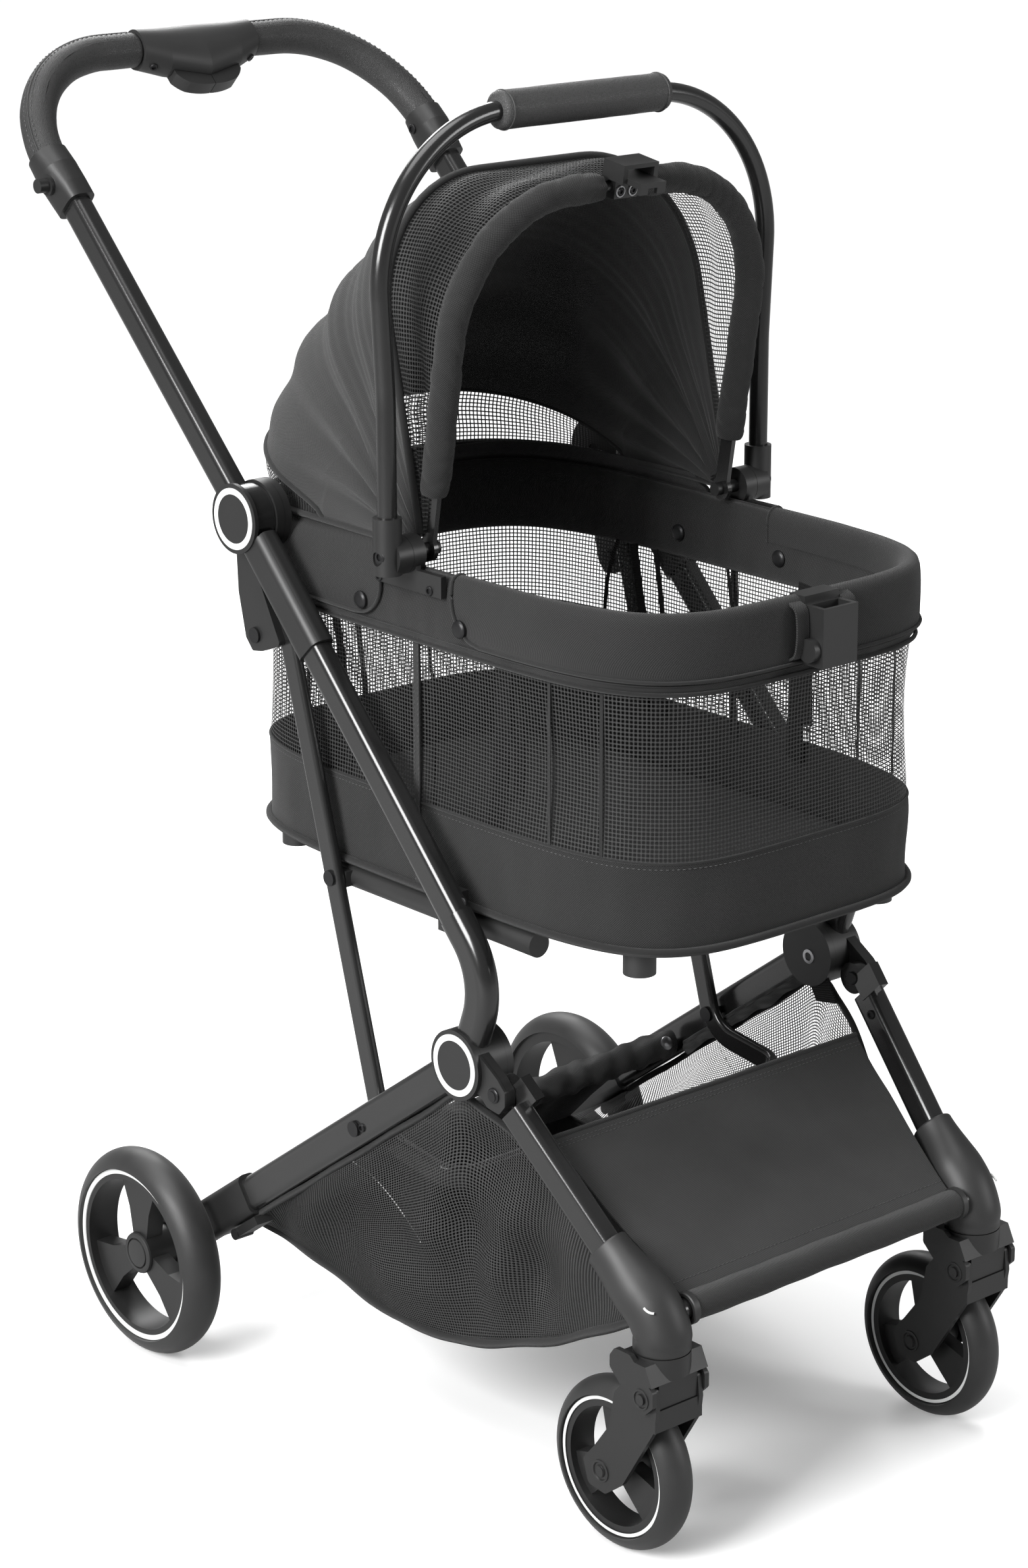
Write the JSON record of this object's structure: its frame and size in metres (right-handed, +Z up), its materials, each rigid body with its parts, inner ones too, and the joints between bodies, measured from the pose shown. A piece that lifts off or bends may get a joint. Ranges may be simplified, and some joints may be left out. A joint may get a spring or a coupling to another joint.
{
  "type": "pet stroller",
  "caption": "Four-wheeled folding pet stroller with a lift-off oval carrier, swinging carry handle, folding canopy, bent push handle, swivel front casters and a sling basket.",
  "frame": {"origin": "on the floor at the middle of the whole stroller's bounding box", "axes": "+Z up, the stroller faces -Y, +X to the left of the person who pushes it"},
  "size_m": [0.491, 0.7846, 1.0211],
  "materials": {
    "dark_tube": "satin charcoal anodised",
    "black_plastic": "fine matte moulding",
    "hub_plastic": "satin moulding with a pale trim ring",
    "rim_plastic": "semi-gloss moulding with a pale trim ring",
    "tyre_foam": "matte foam tyre",
    "leatherette": "grained, stitched seam",
    "shell_cloth": "plain woven polyester",
    "net_cloth": "open knitted net",
    "steel_pins": "zinc plated",
    "bolts": "black oxide"
  },
  "bodies": {
    "frame": {"main_tube_left": "dark_tube", "main_tube_right": "dark_tube", "curved_arm_left": "black_plastic", "curved_arm_right": "black_plastic", "upper_hub_left": "hub_plastic", "upper_hub_right": "hub_plastic", "lower_hub_left": "hub_plastic", "lower_hub_right": "hub_plastic", "rear_leg_left": "dark_tube", "rear_leg_right": "dark_tube", "rear_socket_left": "black_plastic", "rear_socket_right": "black_plastic", "strut_hoop": "dark_tube", "rear_axle": "steel_pins", "carrier_rails": "shell_cloth", "frame_bolts": "bolts", "storage_basket": "net_cloth"},
    "brake_left": {"brake_lever_left": "black_plastic"},
    "brake_right": {"brake_lever_right": "black_plastic"},
    "push_bar": {"push_tube_left": "dark_tube", "push_tube_right": "dark_tube", "handle_core": "steel_pins", "handle_collars": "black_plastic", "handle_grips": "leatherette", "handle_panel": "black_plastic"},
    "squeeze_left": {"trigger_left": "black_plastic"},
    "squeeze_right": {"trigger_right": "black_plastic"},
    "front_legs": {"front_leg_left": "dark_tube", "front_leg_right": "dark_tube", "elbow_left": "black_plastic", "elbow_right": "black_plastic", "front_cross_bar": "dark_tube", "basket_front_panel": "shell_cloth"},
    "caster_left": {"caster_block_left": "black_plastic"},
    "caster_right": {"caster_block_right": "black_plastic"},
    "front_fork_left": {"fork_left": "hub_plastic"},
    "front_fork_right": {"fork_right": "hub_plastic"},
    "front_wheel_left": {"front_rim_left": "rim_plastic", "front_tyre_left": "tyre_foam"},
    "front_wheel_right": {"front_rim_right": "rim_plastic", "front_tyre_right": "tyre_foam"},
    "rear_wheel_left": {"rear_rim_left": "rim_plastic", "rear_tyre_left": "tyre_foam"},
    "rear_wheel_right": {"rear_rim_right": "rim_plastic", "rear_tyre_right": "tyre_foam"},
    "carrier": {"carrier_tray": "black_plastic", "carrier_wall": "shell_cloth", "rim_band": "shell_cloth", "rim_hoop": "steel_pins", "floor_pad": "shell_cloth", "bail_brackets": "black_plastic", "front_lock": "black_plastic", "canopy_hood": "shell_cloth"},
    "button": {"release_button": "black_plastic"},
    "bail": {"bail_tube": "dark_tube", "bail_grip": "leatherette", "bail_sockets": "black_plastic"},
    "canopy": {"canopy_bow": "dark_tube", "bow_sleeve": "shell_cloth", "canopy_clip": "black_plastic"}
  },
  "joints": [
    {"name": "push_bar_fold", "type": "hinge", "parent": "frame", "child": "push_bar", "pos_m": [0, 0.067, 0.698], "axis": [-1, 0, 0], "range_deg": [-70, 0]},
    {"name": "trigger_left_squeeze", "type": "slide", "parent": "push_bar", "child": "squeeze_left", "axis": [0, 0.7071, 0.7071], "range_m": [0, 0.0055], "stiffness_N_per_m": 300, "springref_m": -0.002},
    {"name": "trigger_right_squeeze", "type": "slide", "parent": "push_bar", "child": "squeeze_right", "axis": [0, 0.7071, 0.7071], "range_m": [0, 0.0055], "stiffness_N_per_m": 300, "springref_m": -0.002},
    {"name": "front_leg_fold", "type": "hinge", "parent": "frame", "child": "front_legs", "pos_m": [0, -0.223, 0.325], "axis": [1, 0, 0], "range_deg": [0, 70], "deforming": ["storage_basket"]},
    {"name": "caster_swivel_left", "type": "hinge", "parent": "front_legs", "child": "caster_left", "pos_m": [0.161, -0.368, 0.1696], "axis": [0, 0, 1], "continuous": true},
    {"name": "fork_spring_left", "type": "hinge", "parent": "caster_left", "child": "front_fork_left", "pos_m": [0.161, -0.376, 0.141], "axis": [1, 0, 0], "range_deg": [0, 4], "stiffness_Nm_per_rad": 12, "springref_deg": -20.05},
    {"name": "front_wheel_spin_left", "type": "hinge", "parent": "front_fork_left", "child": "front_wheel_left", "pos_m": [0.161, -0.329, 0.0655], "axis": [1, 0, 0], "continuous": true},
    {"name": "rear_wheel_spin_left", "type": "hinge", "parent": "frame", "child": "rear_wheel_left", "pos_m": [0.228, 0.163, 0.085], "axis": [1, 0, 0], "continuous": true},
    {"name": "caster_swivel_right", "type": "hinge", "parent": "front_legs", "child": "caster_right", "pos_m": [-0.161, -0.368, 0.1696], "axis": [0, 0, 1], "continuous": true},
    {"name": "fork_spring_right", "type": "hinge", "parent": "caster_right", "child": "front_fork_right", "pos_m": [-0.161, -0.376, 0.141], "axis": [1, 0, 0], "range_deg": [0, 4], "stiffness_Nm_per_rad": 12, "springref_deg": -20.05},
    {"name": "front_wheel_spin_right", "type": "hinge", "parent": "front_fork_right", "child": "front_wheel_right", "pos_m": [-0.161, -0.329, 0.0655], "axis": [1, 0, 0], "continuous": true},
    {"name": "rear_wheel_spin_right", "type": "hinge", "parent": "frame", "child": "rear_wheel_right", "pos_m": [-0.228, 0.163, 0.085], "axis": [1, 0, 0], "continuous": true},
    {"name": "brake_press_left", "type": "hinge", "parent": "frame", "child": "brake_left", "pos_m": [0.19546, 0.07905, 0.119], "axis": [1, 0, 0], "range_deg": [0, 14]},
    {"name": "brake_press_right", "type": "hinge", "parent": "frame", "child": "brake_right", "pos_m": [-0.19546, 0.07905, 0.119], "axis": [1, 0, 0], "range_deg": [0, 14]},
    {"name": "carrier_lift", "type": "slide", "parent": "frame", "child": "carrier", "axis": [0, 0, 1], "range_m": [0, 0.25]},
    {"name": "button_press", "type": "slide", "parent": "carrier", "child": "button", "axis": [1, 0, 0], "range_m": [0, 0.003], "stiffness_N_per_m": 300, "springref_m": -0.002},
    {"name": "bail_swing", "type": "hinge", "parent": "carrier", "child": "bail", "pos_m": [0, -0.099, 0.698], "axis": [-1, 0, 0], "range_deg": [-80, 45]},
    {"name": "canopy_swing", "type": "hinge", "parent": "carrier", "child": "canopy", "pos_m": [0, -0.099, 0.698], "axis": [1, 0, 0], "range_deg": [-60, 78], "deforming": ["canopy_hood"]}
  ]
}
